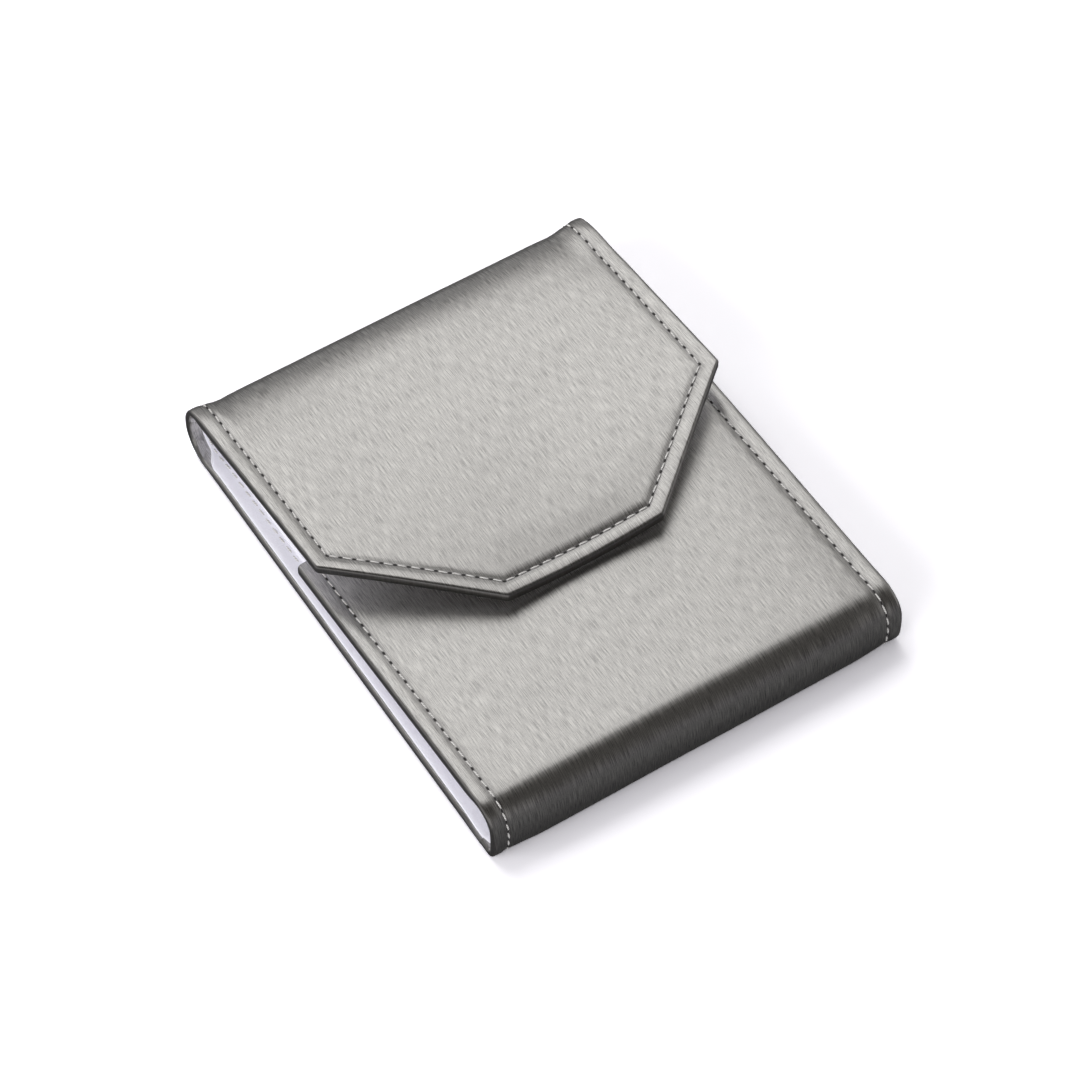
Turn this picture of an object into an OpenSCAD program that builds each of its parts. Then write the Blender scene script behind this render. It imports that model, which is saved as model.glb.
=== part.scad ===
// Tri-fold eyeglasses case: a back, a front and a pointed flap of board covered in leatherette,
// joined by two narrow spines and held shut by a hidden snap under the flap.
// X is across the case, +Y runs from the bottom fold to the top fold, and Z = 0 is the resting face.

/* [Case] */
// Width across the open sides
case_w = 120; // [96:1:150]
// Length from the outside of the bottom fold to the outside of the top fold
case_l = 147.6; // [122:0.1:180]
// Height of the front panel's outer face at the bottom fold
front_h = 17.6; // [14.6:0.1:21.2]
// How much higher the flap's outer face is, at the top fold
flap_step = 2; // [1.6:0.1:2.4]

/* [Layers] */
// Thickness of the leatherette
skin_t = 0.6; // [0.5:0.05:0.75]
// Thickness of the boards
board_t = 1.2; // [1:0.05:1.5]
// Thickness of the foam under the front's and the flap's leatherette
foam_t = 0.6; // [0.5:0.05:0.75]
// Thickness of the lining
lining_t = 0.4; // [0.3:0.05:0.5]
// Width of the leatherette turned in round each edge
hem_w = 9; // [7.5:0.5:11]
// Strip of turned edge that shows beside the lining
lining_margin = 1.1; // [0.9:0.1:1.4]

/* [Folds] */
// Outer radius of the bottom fold's upper crease
bottom_high_r = 7; // [5.8:0.1:8.4]
// Outer radius of the top fold's lower crease
top_low_r = 6; // [5:0.1:7.2]
// Outer radius of the top fold's upper crease
top_high_r = 6; // [5:0.1:7.2]
// Clearance between two panels at a tight crease
crease_gap = 0.4; // [0.3:0.05:0.6]

/* [Front panel] */
// How far the flap's tip reaches past the front panel's free end
overlap = 40; // [33:1:48]

/* [Flap] */
// Length from the top fold's crease to the tip
flap_l = 90; // [76:1:108]
// Length from the top fold's crease to the side corners
flap_side_l = 61; // [51:1:72]
// Width of the straight edge at the tip
tip_w = 46; // [38:1:55]
// Angle at which the flap's side edges rise from the fold
side_angle = 5.9; // [4.9:0.1:7]
// Height of the tip above the fold
tip_rise = 0.6; // [0.4:0.1:0.8]
// Crown of the flap's middle between the fold and the tip
flap_bow = 1.3; // [1:0.1:1.6]
// How sharply the corners curl up: a higher power curls them nearer the sides
curl_power = 1.8; // [1.5:0.1:2.2]

/* [Insert pad] */
// Thickness of the padded insert's core
pad_core_t = 1.2; // [1:0.1:1.5]
// Thickness of the cloth over the insert
pad_cover_t = 0.4; // [0.3:0.05:0.5]
// Space between the insert and the stitching beside it
pad_side_gap = 0.5; // [0.4:0.05:0.6]
// Space left between the insert and each fold's lining
pad_end_gap = 4; // [3:0.5:5]

/* [Stitching] */
// Distance of the stitching from the edges
stitch_inset = 4.5; // [3.8:0.1:5.4]
// Width of the thread
thread_w = 0.5; // [0.4:0.05:0.6]
// Height of the thread above the surface
thread_h = 0.3; // [0.25:0.05:0.35]

/* [Snap] */
// Distance of the snap from the flap's tip edge
snap_inset = 14; // [12:0.5:17]
// Height of the closed snap between the front panel and the flap
snap_h = 2.14; // [2.05:0.01:2.5]
// Radius of the stud's and the socket's flanges
flange_r = 5; // [4.2:0.1:6]
// Radius of the stud's head
head_r = 1.8; // [1.7:0.05:2.1]
// Radius of the stud's neck
neck_r = 1.5; // [1.3:0.05:1.55]
// Thickness of the snap's sheet metal
metal_t = 0.25; // [0.2:0.01:0.3]
// Radius of the hollow rivet posts
post_r = 1.1; // [0.9:0.05:1.2]
// Bore of the hollow rivet posts
post_bore_r = 0.7; // [0.6:0.05:0.8]
// Clearance of the posts in the layers that they pass
post_gap = 0.1; // [0.05:0.01:0.15]
// Clearance between the stud's and the socket's faces
snap_gap = 0.25; // [0.2:0.01:0.3]
// Clearance around the stud's head in the socket
head_gap = 0.4; // [0.35:0.05:0.5]
// Thickness of the socket's split spring ring
spring_t = 0.15; // [0.12:0.01:0.18]
// Width of the spring ring that its groove holds
spring_seat = 0.4; // [0.3:0.05:0.5]
// Clearance between the spring ring and the stud
spring_gap = 0.15; // [0.12:0.01:0.18]
// Thickness of the socket's lip below the spring ring
lip_t = 0.12; // [0.1:0.01:0.15]

/* [Hidden] */

$fn = 64;
cut = 1;        // how far a cutting shape runs past the face that it opens
lap = 0.05;     // how far two cutting shapes reach into each other
leather_colour = "#9a9894";
crease_colour = "#7d7b78";
board_colour = "#b8a488";
foam_colour = "#e8e6df";
lining_colour = "#f1f1f4";
thread_colour = "#d9d9d6";
metal_colour = "#c9c9c9";

// thickness of a panel from its outer face to its lining's face, without and with foam
thin_cover_t = 2 * skin_t + board_t;
thin_t = thin_cover_t + lining_t;
foam_cover_t = thin_cover_t + foam_t;
foam_panel_t = foam_cover_t + lining_t;

flap_h = front_h + flap_step;
fold_y = case_l / 2;
bottom_low_r = thin_t + crease_gap;

back_y0 = -fold_y + bottom_low_r;
back_l = case_l - bottom_low_r - top_low_r;
bottom_spine_l = front_h - bottom_low_r - bottom_high_r;
top_spine_l = flap_h - top_low_r - top_high_r;

front_y0 = -fold_y + bottom_high_r;
flap_y0 = fold_y - top_high_r;
tip_y = flap_y0 - flap_l;
corner_y = flap_y0 - flap_side_l;
front_end_y = tip_y + overlap;
snap_y = tip_y + snap_inset;

// the flap's outer face: its middle is held down by the snap and its side edges spring up
function flap_run(y) = (flap_y0 - y) / flap_l;
function flap_mid(y) = flap_h + tip_rise * flap_run(y) + 4 * flap_bow * flap_run(y) * (1 - flap_run(y));
function flap_side(y) = flap_h + (flap_y0 - y) * tan(side_angle);
function flap_top(x, y) =
    flap_mid(y) + (flap_side(y) - flap_mid(y)) * pow(abs(x) / (case_w / 2), curl_power);

// the closed snap holds the front panel down at this angle
flap_snap_z = flap_mid(snap_y) - foam_panel_t;
front_tilt = atan((front_h - flap_snap_z + snap_h) / (snap_y - front_y0));
front_l = (front_end_y - front_y0) / cos(front_tilt);
front_snap_l = (snap_y - front_y0) / cos(front_tilt);

// half widths of the flap's outline
diag_x = (case_w - tip_w) / 2;
diag_y = corner_y - tip_y;
diag_l = sqrt(diag_x * diag_x + diag_y * diag_y);
function corner_at(inset) = tip_y + (diag_x + inset * (diag_l / diag_y - 1)) * diag_y / diag_x;
function tip_half_w(inset) = tip_w / 2 + inset * (diag_x - diag_l) / diag_y;
flap_rows = 14;
flap_cols = 14;

// the snap's pieces, measured from the front panel for the stud and from the flap for the socket
snap_step = 1;
flap_snap_slope = atan((flap_mid(snap_y + snap_step) - flap_mid(snap_y - snap_step)) / (2 * snap_step));
head_top = snap_h - metal_t - snap_gap;
head_z = metal_t + snap_gap + lip_t + spring_t + spring_gap;
head_bevel = (head_top - head_z) / 2;
socket_h = snap_h - metal_t - snap_gap;
spring_z = socket_h - lip_t - spring_t;
spring_in_r = neck_r + spring_gap;
cavity_r = head_r + head_gap;
groove_r = cavity_r + spring_seat;
socket_r = groove_r + metal_t;

// a panel lies outer face up: x across, y from its fold to its end, and its layers below z = 0
module layer(inset, y0, y1, depth, thickness) {
    translate([inset - case_w / 2, y0, -depth - thickness])
        cube([case_w - 2 * inset, y1 - y0, thickness]);
}

// leatherette turned in round both sides, and round the free end where end_wall is its thickness there
module panel_cover(length, core_t, end_wall = 0) {
    end_hem = end_wall > 0 ? hem_w : -cut;
    difference() {
        layer(0, 0, length, 0, core_t + 2 * skin_t);
        layer(skin_t, -cut, end_wall > 0 ? length - end_wall : length + cut, skin_t, core_t);
        layer(hem_w, -cut, length - end_hem, skin_t + core_t - lap, skin_t + lap + cut);
    }
}

module panel_lining(length, core_t, free_end = false) {
    layer(hem_w, 0, free_end ? length - hem_w : length, skin_t + core_t, skin_t);
    layer(lining_margin, 0, free_end ? length - lining_margin : length, core_t + 2 * skin_t, lining_t);
}

// two lines of thread beside the open sides, on the face at height z
module side_threads(y0, y1, z) {
    for (side = [-1, 1])
        translate([side * (case_w / 2 - stitch_inset) - thread_w / 2, y0, z])
            cube([thread_w, y1 - y0, thread_h]);
}

// the skin of a crease: a quarter ring from the outer face at (y, z) = (0, -r) round to (-r, 0)
module crease(r) {
    rotate([90, 0, 90])
        translate([0, 0, -case_w / 2])
            linear_extrude(case_w)
                difference() {
                    intersection() {
                        circle(r);
                        translate([-r, -r])
                            square(r);
                    }
                    circle(r - skin_t);
                }
}

module in_back() { translate([0, back_y0, 0]) mirror([0, 0, 1]) children(); }
module in_bottom_spine() { translate([0, -fold_y, bottom_low_r]) rotate([90, 0, 0]) children(); }
module in_top_spine() {
    mirror([0, 1, 0])
        translate([0, -fold_y, top_low_r])
            rotate([90, 0, 0])
                children();
}
module in_front() {
    // set back so that the tilted panel's end clears the crease skin
    translate([0, front_y0 + skin_t * sin(front_tilt), front_h])
        rotate([-front_tilt, 0, 0])
            children();
}

// Back
module back_cover() { color(leather_colour) in_back() panel_cover(back_l, board_t); }
module back_board() { color(board_colour) in_back() layer(skin_t, 0, back_l, skin_t, board_t); }
module back_lining() { color(lining_colour) in_back() panel_lining(back_l, board_t); }
module back_stitching() {
    color(thread_colour)
        translate([0, back_y0, thin_t])
            side_threads(0, back_l, 0);
}

// Padded insert on the back's lining, between its lines of stitching
pad_x = stitch_inset + thread_w / 2 + pad_side_gap;
pad_y0 = back_y0 + pad_end_gap;
pad_l = back_l - 2 * pad_end_gap;
module insert_block(inset, thickness) {
    translate([inset - case_w / 2, pad_y0 + inset - pad_x, thin_t])
        cube([case_w - 2 * inset, pad_l - 2 * (inset - pad_x), thickness]);
}
module insert_pad_core() { color(foam_colour) insert_block(pad_x + pad_cover_t, pad_core_t); }
module insert_pad_cover() {
    color(lining_colour)
        difference() {
            insert_block(pad_x, pad_core_t + pad_cover_t);
            translate([0, 0, -cut])
                insert_block(pad_x + pad_cover_t, pad_core_t + cut);
        }
}

// Bottom spine
module bottom_spine_cover() {
    color(leather_colour) in_bottom_spine() panel_cover(bottom_spine_l, board_t);
}
module bottom_spine_board() {
    color(board_colour) in_bottom_spine() layer(skin_t, 0, bottom_spine_l, skin_t, board_t);
}
module bottom_spine_lining() {
    color(lining_colour) in_bottom_spine() panel_lining(bottom_spine_l, board_t);
}
module bottom_spine_stitching() {
    color(thread_colour) in_bottom_spine() side_threads(0, bottom_spine_l, 0);
}
module bottom_low_crease_skin() {
    color(crease_colour) translate([0, back_y0, bottom_low_r]) crease(bottom_low_r);
}
module bottom_high_crease_skin() {
    color(crease_colour)
        translate([0, front_y0, front_h - bottom_high_r])
            mirror([0, 0, 1])
                crease(bottom_high_r);
}

// Front panel
front_core_t = foam_t + board_t;
module front_place_snap() { translate([0, front_snap_l, 0]) children(); }
module front_post_hole() {
    in_front()
        front_place_snap()
            translate([0, 0, -foam_panel_t])
                cylinder(r = post_r + post_gap, h = foam_panel_t + cut);
}
module front_cover() {
    color(leather_colour)
        difference() {
            in_front() panel_cover(front_l, front_core_t, skin_t);
            front_post_hole();
        }
}
module front_foam() {
    color(foam_colour)
        difference() {
            in_front() layer(skin_t, 0, front_l - skin_t, skin_t, foam_t);
            front_post_hole();
        }
}
module front_board() {
    color(board_colour)
        difference() {
            in_front() layer(skin_t, 0, front_l - skin_t, skin_t + foam_t, board_t);
            front_post_hole();
        }
}
module front_lining() {
    color(lining_colour)
        difference() {
            in_front() panel_lining(front_l, front_core_t, true);
            in_front()
                front_place_snap()
                    translate([0, 0, -foam_cover_t])
                        cylinder(r = flange_r + post_gap, h = skin_t + lap);
        }
}
module front_stitching() { color(thread_colour) in_front() side_threads(0, front_l - stitch_inset, 0); }

// Snap: stud and eyelet on the front panel
module snap_stud() {
    color(metal_colour)
        in_front()
            front_place_snap()
                rotate_extrude()
                    difference() {
                        polygon([
                            [0, 0], [flange_r, 0], [flange_r, metal_t], [neck_r, metal_t],
                            [neck_r, head_z], [head_r, head_z], [head_r, head_top - head_bevel],
                            [head_r - head_bevel, head_top], [0, head_top]
                        ]);
                        translate([0, -cut])
                            square([post_r, cut + metal_t]);
                    }
}
module snap_stud_eyelet() {
    eyelet_h = foam_cover_t - skin_t;
    color(metal_colour)
        in_front()
            front_place_snap()
                translate([0, 0, -eyelet_h - metal_t])
                    difference() {
                        union() {
                            cylinder(r = flange_r, h = metal_t);
                            cylinder(r = post_r, h = eyelet_h + 2 * metal_t);
                        }
                        translate([0, 0, -cut])
                            cylinder(r = post_bore_r, h = eyelet_h + 2 * cut);
                    }
}

// Top spine
module top_spine_cover() {
    color(leather_colour) in_top_spine() panel_cover(top_spine_l, board_t);
}
module top_spine_board() {
    color(board_colour) in_top_spine() layer(skin_t, 0, top_spine_l, skin_t, board_t);
}
module top_spine_lining() {
    color(lining_colour) in_top_spine() panel_lining(top_spine_l, board_t);
}
module top_spine_stitching() {
    color(thread_colour) in_top_spine() side_threads(0, top_spine_l, 0);
}
module top_low_crease_skin() {
    color(crease_colour)
        mirror([0, 1, 0])
            translate([0, top_low_r - fold_y, top_low_r])
                crease(top_low_r);
}
module top_high_crease_skin() {
    color(crease_colour)
        mirror([0, 1, 0])
            translate([0, top_high_r - fold_y, flap_h - top_high_r])
                mirror([0, 0, 1])
                    crease(top_high_r);
}

// Flap
// the slab between two depths below the flap's outer face, on one grid that all its layers share
module flap_slab(depth0, depth1) {
    row_n = flap_rows + 2;
    col_n = flap_cols + 1;
    points = [
        for (depth = [depth0, depth1])
            for (r = [-1:flap_rows])
                for (c = [0:flap_cols])
                    let (
                        x = case_w * (c / flap_cols - 1 / 2),
                        y = r < 0 ? flap_y0 + 2 * cut : flap_y0 - flap_l * r / flap_rows
                    )
                        [x, y, flap_top(x, y) - depth]
    ];
    function at(side, r, c) = side * row_n * col_n + r * col_n + c;
    faces = [
        for (r = [0:row_n - 2])
            for (c = [0:flap_cols - 1])
                each [
                    [at(0, r, c), at(0, r, c + 1), at(0, r + 1, c + 1)],
                    [at(0, r, c), at(0, r + 1, c + 1), at(0, r + 1, c)],
                    [at(1, r, c), at(1, r + 1, c + 1), at(1, r, c + 1)],
                    [at(1, r, c), at(1, r + 1, c), at(1, r + 1, c + 1)]
                ],
        for (c = [0:flap_cols - 1])
            each [
                [at(0, 0, c), at(1, 0, c), at(1, 0, c + 1)],
                [at(0, 0, c), at(1, 0, c + 1), at(0, 0, c + 1)],
                [at(0, row_n - 1, c), at(1, row_n - 1, c + 1), at(1, row_n - 1, c)],
                [at(0, row_n - 1, c), at(0, row_n - 1, c + 1), at(1, row_n - 1, c + 1)]
            ],
        for (r = [0:row_n - 2])
            each [
                [at(0, r, 0), at(1, r + 1, 0), at(1, r, 0)],
                [at(0, r, 0), at(0, r + 1, 0), at(1, r + 1, 0)],
                [at(0, r, flap_cols), at(1, r, flap_cols), at(1, r + 1, flap_cols)],
                [at(0, r, flap_cols), at(1, r + 1, flap_cols), at(0, r + 1, flap_cols)]
            ]
    ];
    polyhedron(points, faces);
}

// the flap's outline, inset from its edges but open at the fold
module flap_outline(inset, start = flap_y0) {
    side_x = case_w / 2 - inset;
    tip_x = tip_half_w(inset);
    polygon([
        [side_x, start], [side_x, corner_at(inset)], [tip_x, tip_y + inset],
        [-tip_x, tip_y + inset], [-side_x, corner_at(inset)], [-side_x, start]
    ]);
}

module flap_layer(inset, depth0, depth1, start = flap_y0) {
    intersection() {
        flap_slab(depth0, depth1);
        linear_extrude(2 * flap_side(tip_y))
            flap_outline(inset, start);
    }
}

// the snap's place on the flap: z = 0 is the lining's face, and z rises through the layers
flap_board_z = foam_panel_t - skin_t - foam_t;
module flap_place_snap() {
    translate([0, snap_y, flap_snap_z])
        rotate([flap_snap_slope, 0, 0])
            children();
}
module flap_post_hole() {
    flap_place_snap()
        translate([0, 0, -cut])
            cylinder(r = post_r + post_gap, h = flap_board_z + 2 * cut);
}
module flap_flange_seat(z0, z1) {
    flap_place_snap()
        translate([0, 0, z0])
            cylinder(r = flange_r + post_gap, h = z1 - z0);
}

module flap_cover() {
    color(leather_colour)
        difference() {
            flap_layer(0, 0, foam_cover_t);
            flap_layer(skin_t, skin_t, foam_cover_t - skin_t, flap_y0 + cut);
            flap_layer(hem_w, skin_t + foam_t, foam_cover_t + cut, flap_y0 + cut);
        }
}
module flap_foam() {
    color(foam_colour)
        difference() {
            flap_layer(skin_t, skin_t, skin_t + foam_t);
            flap_flange_seat(flap_board_z - cut, flap_board_z + metal_t);
        }
}
module flap_board() {
    color(board_colour)
        difference() {
            flap_layer(skin_t, skin_t + foam_t, foam_cover_t - skin_t);
            flap_post_hole();
            flap_flange_seat(flap_board_z, flap_board_z + cut);
        }
}
module flap_lining() {
    color(lining_colour)
        difference() {
            union() {
                flap_layer(hem_w, foam_cover_t - skin_t, foam_cover_t + lining_t / 2);
                flap_layer(lining_margin, foam_cover_t, foam_panel_t);
            }
            flap_post_hole();
            flap_flange_seat(-cut, 0);
        }
}
module flap_stitching() {
    color(thread_colour)
        intersection() {
            flap_slab(-thread_h, 0);
            linear_extrude(2 * flap_side(tip_y))
                difference() {
                    flap_outline(stitch_inset - thread_w / 2);
                    flap_outline(stitch_inset + thread_w / 2, flap_y0 + cut);
                }
        }
}

// Snap: socket, spring and cap on the flap
module snap_socket() {
    color(metal_colour)
        flap_place_snap()
            mirror([0, 0, 1])
                rotate_extrude()
                    difference() {
                        union() {
                            square([flange_r, metal_t]);
                            square([socket_r, socket_h]);
                        }
                        translate([0, metal_t])
                            square([cavity_r, socket_h]);
                        translate([0, spring_z])
                            square([groove_r, spring_t]);
                        translate([0, -cut])
                            square([post_r, cut + metal_t + lap]);
                    }
}
module snap_socket_spring() {
    color(metal_colour)
        flap_place_snap()
            mirror([0, 0, 1])
                translate([0, 0, spring_z])
                    rotate_extrude(angle = 320)
                        translate([spring_in_r, 0])
                            square([groove_r - spring_in_r, spring_t]);
}
module snap_hidden_cap() {
    color(metal_colour)
        flap_place_snap()
            difference() {
                union() {
                    translate([0, 0, flap_board_z])
                        cylinder(r = flange_r, h = metal_t);
                    translate([0, 0, -metal_t])
                        cylinder(r = post_r, h = flap_board_z + 2 * metal_t);
                }
                translate([0, 0, -metal_t - cut])
                    cylinder(r = post_bore_r, h = flap_board_z + cut + metal_t);
            }
}

back_cover();
back_board();
back_lining();
back_stitching();
insert_pad_core();
insert_pad_cover();
bottom_spine_cover();
bottom_spine_board();
bottom_spine_lining();
bottom_spine_stitching();
bottom_low_crease_skin();
bottom_high_crease_skin();
front_cover();
front_foam();
front_board();
front_lining();
front_stitching();
snap_stud();
snap_stud_eyelet();
top_spine_cover();
top_spine_board();
top_spine_lining();
top_spine_stitching();
top_low_crease_skin();
top_high_crease_skin();
flap_cover();
flap_foam();
flap_board();
flap_lining();
flap_stitching();
snap_socket();
snap_socket_spring();
snap_hidden_cap();
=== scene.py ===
import math

import bmesh
import bpy
from mathutils import Matrix, Vector, noise


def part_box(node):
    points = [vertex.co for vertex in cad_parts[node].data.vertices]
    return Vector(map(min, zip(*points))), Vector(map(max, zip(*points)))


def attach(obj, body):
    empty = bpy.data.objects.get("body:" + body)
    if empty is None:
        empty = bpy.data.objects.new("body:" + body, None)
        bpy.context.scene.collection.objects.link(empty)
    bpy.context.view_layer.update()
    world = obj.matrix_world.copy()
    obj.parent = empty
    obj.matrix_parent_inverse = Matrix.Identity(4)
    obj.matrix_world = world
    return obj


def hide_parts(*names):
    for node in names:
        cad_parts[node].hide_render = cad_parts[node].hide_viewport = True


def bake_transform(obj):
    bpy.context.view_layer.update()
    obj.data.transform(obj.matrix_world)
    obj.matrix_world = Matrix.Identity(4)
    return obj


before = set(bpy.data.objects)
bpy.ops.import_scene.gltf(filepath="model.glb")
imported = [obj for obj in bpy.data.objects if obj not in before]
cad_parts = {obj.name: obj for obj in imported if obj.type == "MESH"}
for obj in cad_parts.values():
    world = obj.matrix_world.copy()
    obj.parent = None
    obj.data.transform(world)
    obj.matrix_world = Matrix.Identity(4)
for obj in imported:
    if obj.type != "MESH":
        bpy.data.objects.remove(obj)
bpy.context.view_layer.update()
print("frame loaded")

mm = 0.001

# the case's outer face runs from the middle of the back round each fold
# lengths are in millimetres and angles in degrees
caseShape = {
    "halfWidth": 60.0,
    "topBackLength": 65.2,
    "topFoldRadius": 8.81,
    "topFoldTurn": 155.0,
    "topEaseRadius": 30.0,
    "bottomBackLength": 71.6,
    "bottomLowRadius": 3.2,
    "bottomLowTurn": 76.0,
    "bottomFaceRadius": 20.6,
    "bottomFaceTurn": 26.0,
    "bottomHighRadius": 7.46,
    "bottomHighTurn": 76.0,
    "bottomEaseRadius": 40.0,
    "frontTilt": 2.3,
    "faceSkew": 0.5,
}
lowTurn = math.radians(caseShape["bottomLowTurn"])
faceTurn = math.radians(caseShape["bottomFaceTurn"])
highTurn = math.radians(caseShape["bottomHighTurn"])
frontEase = math.pi + math.radians(caseShape["frontTilt"]) - lowTurn - faceTurn - highTurn
topTurn = math.radians(caseShape["topFoldTurn"])
endless = 400.0
chains = {
    1: [
        (caseShape["topBackLength"], 0.0),
        (topTurn * caseShape["topFoldRadius"], topTurn),
        ((math.pi - topTurn) * caseShape["topEaseRadius"], math.pi - topTurn),
        (endless, 0.0),
    ],
    -1: [
        (caseShape["bottomBackLength"], 0.0),
        (caseShape["bottomLowRadius"] * lowTurn, lowTurn),
        (caseShape["bottomFaceRadius"] * faceTurn, faceTurn),
        (caseShape["bottomHighRadius"] * highTurn, highTurn),
        (caseShape["bottomEaseRadius"] * frontEase, frontEase),
        (endless, 0.0),
    ],
}
topStart = chains[1][0][0]
topCrown = topStart + chains[1][1][0]
topEnd = topCrown + chains[1][2][0]
topMiddle = topStart + caseShape["topFoldRadius"] * math.pi / 2
lowStart = chains[-1][0][0]
faceStart = lowStart + chains[-1][1][0]
highStart = faceStart + chains[-1][2][0]
highEnd = highStart + chains[-1][3][0]
frontStart = highEnd + chains[-1][4][0]
bottomMiddle = (faceStart + highStart) / 2
# the back's own blank ends this far short of where the bends start
backLap = 3.0
backTop = topStart - backLap
backBottom = lowStart - backLap

# distance along the face, each with the covered board's thickness there, and below with its swell
thicknessTable = {
    1: [(0, 2.4), (59, 2.4), (66, 1.5), (topCrown - 2, 1.5), (topCrown + 5, 3.0), (endless, 3.0)],
    -1: [
        (0, 2.4), (66, 2.4), (faceStart, 1.5), (bottomMiddle, 2.0), (highStart + 2, 1.6),
        (highEnd, 2.2), (highEnd + 5, 3.0), (endless, 3.0),
    ],
}
swellTable = {
    1: [(0, 0.0), (60, 0.0), (topStart + 9, 0.4), (topCrown, 0.45), (topCrown + 14, 0.36), (endless, 0.32)],
    -1: [
        (0, 0.0), (lowStart, 0.0), (faceStart, 0.5), (highStart, 0.7), (highEnd + 14, 0.38), (endless, 0.32),
    ],
}


def smooth(low, high, value):
    t = min(max((value - low) / (high - low), 0.0), 1.0)
    return t * t * (3 - 2 * t)


def lookUp(table, value):
    value = abs(value)
    for (s0, v0), (s1, v1) in zip(table, table[1:]):
        if value <= s1:
            return v0 + (v1 - v0) * smooth(s0, s1, value)
    return table[-1][1]


def plainWalk(side, s):
    y = z = angle = 0.0
    for length, turn in chains[side]:
        step = min(s, length)
        if turn:
            radius = length / turn
            after = angle + step / radius
            y += radius * (math.sin(after) - math.sin(angle))
            z += radius * (math.cos(angle) - math.cos(after))
            angle = after
        else:
            y += step * math.cos(angle)
            z += step * math.sin(angle)
        s -= step
        if s <= 0:
            break
    return y, z, angle


# the back's blank runs both ways from the middle, so its negative half is read on the bottom side
def walk(side, s):
    if s >= 0:
        return plainWalk(side, s)
    y, z, angle = plainWalk(-side, -s)
    return -y, z, -angle


# the flap's corners spring up at the sides while the snap holds its middle down
flapShape = {
    "foldY": 67.8,
    "length": 90.0,
    "sideAngle": 5.9,
    "tipRise": 0.6,
    "bow": 1.3,
    "curlPower": 1.8,
    "cornerY": 6.8,
    "tipY": -23.6,
    "tipHalfWidth": 23.0,
    "easeLength": 16.0,
}


def flapLift(x, y):
    run = (flapShape["foldY"] - y) / flapShape["length"]
    middle = flapShape["tipRise"] * run + 4 * flapShape["bow"] * run * (1 - run)
    edge = (flapShape["foldY"] - y) * math.tan(math.radians(flapShape["sideAngle"]))
    share = (abs(x) / caseShape["halfWidth"]) ** flapShape["curlPower"]
    ease = smooth(0, flapShape["easeLength"], topStart - y)
    return (middle + (edge - middle) * share) * ease


# the front panel's free end sits lower at its left and higher at its right
frontShape = {"endY": 17.8, "leftDrop": 0.9, "rightRise": 0.7}


def frontLift(x, y):
    along = smooth(-66, frontShape["endY"], y)
    across = x / caseShape["halfWidth"]
    lift = frontShape["leftDrop"] * min(across, 0) + frontShape["rightRise"] * max(across, 0)
    return along * lift * abs(across)


def placed(side, x, s, depth):
    y, z, angle = walk(side, s)
    if side < 0:
        window = smooth(lowStart, faceStart + 2, s) * (1 - smooth(highStart, highEnd, s))
        depth -= caseShape["faceSkew"] * window * x / caseShape["halfWidth"]
    y -= math.sin(angle) * depth
    z += math.cos(angle) * depth
    y *= side
    if side > 0 and s > topMiddle:
        z += flapLift(x, y)
    if side < 0 and s > frontStart:
        z += frontLift(x, y)
    return Vector((x, y, max(z, 0.0))) * mm


# how the leatherette sits on its edges and seams
edgeShape = {
    "roundRadius": 0.95,
    "cornerRadius": 1.6,
    "stitchInset": 4.5,
    "groove": 0.36,
    "grooveWidth": 1.15,
    "swellWidth": 11.0,
    "hemCrown": 0.05,
    "wander": 0.12,
    "crumple": 0.8,
    "studDimple": 0.34,
    "studRim": 5.5,
    "studReach": 14.0,
    "topHemRaise": 1.8,
    "bottomHemRaise": 0.15,
}


# beside the stitching the turned edge keeps its height up to the fold, where the middle already falls away
def hemRaise(side, s, inset):
    if side > 0:
        height = edgeShape["topHemRaise"]
        height *= smooth(topMiddle, topCrown, s) * (1 - smooth(topCrown, topEnd + 4, s))
    else:
        height = edgeShape["bottomHemRaise"]
        height *= smooth(bottomMiddle, highEnd, s) * (1 - smooth(highEnd, frontStart + 4, s))
    stitch = edgeShape["stitchInset"]
    return height * (1 - smooth(stitch - 1.5, stitch + 6.0, inset))


class Blank:
    # a flat cut of material: its corners, and the seams where it meets the next piece
    def __init__(self, side, corners, seams, margin=0.0, rows=2.5, columns=4.0):
        self.side = side
        self.corners = [Vector(c) for c in corners]
        self.seams = seams
        self.margin = margin
        self.rows = rows
        self.columns = columns
        self.edges = []
        count = len(self.corners)
        for i, start in enumerate(self.corners):
            end = self.corners[(i + 1) % count]
            along = (end - start).normalized()
            inward = Vector((-along.y, along.x))
            isSeam = abs(along.y) < 1e-4 and any(abs(start.y - s) < 1e-3 for s in seams)
            self.edges.append((start, along, inward, (end - start).length, isSeam))

    def insets(self, point):
        return [((point - e[0]).dot(e[2]), i) for i, e in enumerate(self.edges) if not e[4]]

    def insetAt(self, point):
        best = min(self.insets(point))[0]
        radius = edgeShape["cornerRadius"]
        count = len(self.edges)
        for i in range(count):
            before, after = self.edges[i - 1], self.edges[i]
            if before[4] or after[4]:
                continue
            opening = math.acos(max(-1.0, min(1.0, -before[1].dot(after[1]))))
            bisector = (after[1] - before[1]).normalized()
            centre = after[0] + bisector * (radius / math.sin(opening / 2))
            offset = point - centre
            if offset.dot(before[1]) > 0 and offset.dot(after[1]) < 0:
                best = min(best, radius - offset.length)
        return max(best, 0.0) + self.margin


def newPiece(name, bm):
    mesh = bpy.data.meshes.new(name)
    bm.to_mesh(mesh)
    bm.free()
    obj = bpy.data.objects.new(name, mesh)
    bpy.context.scene.collection.objects.link(obj)
    return obj


def smoothShaded(bm):
    bmesh.ops.recalc_face_normals(bm, faces=bm.faces)
    for face in bm.faces:
        face.smooth = True


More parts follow.
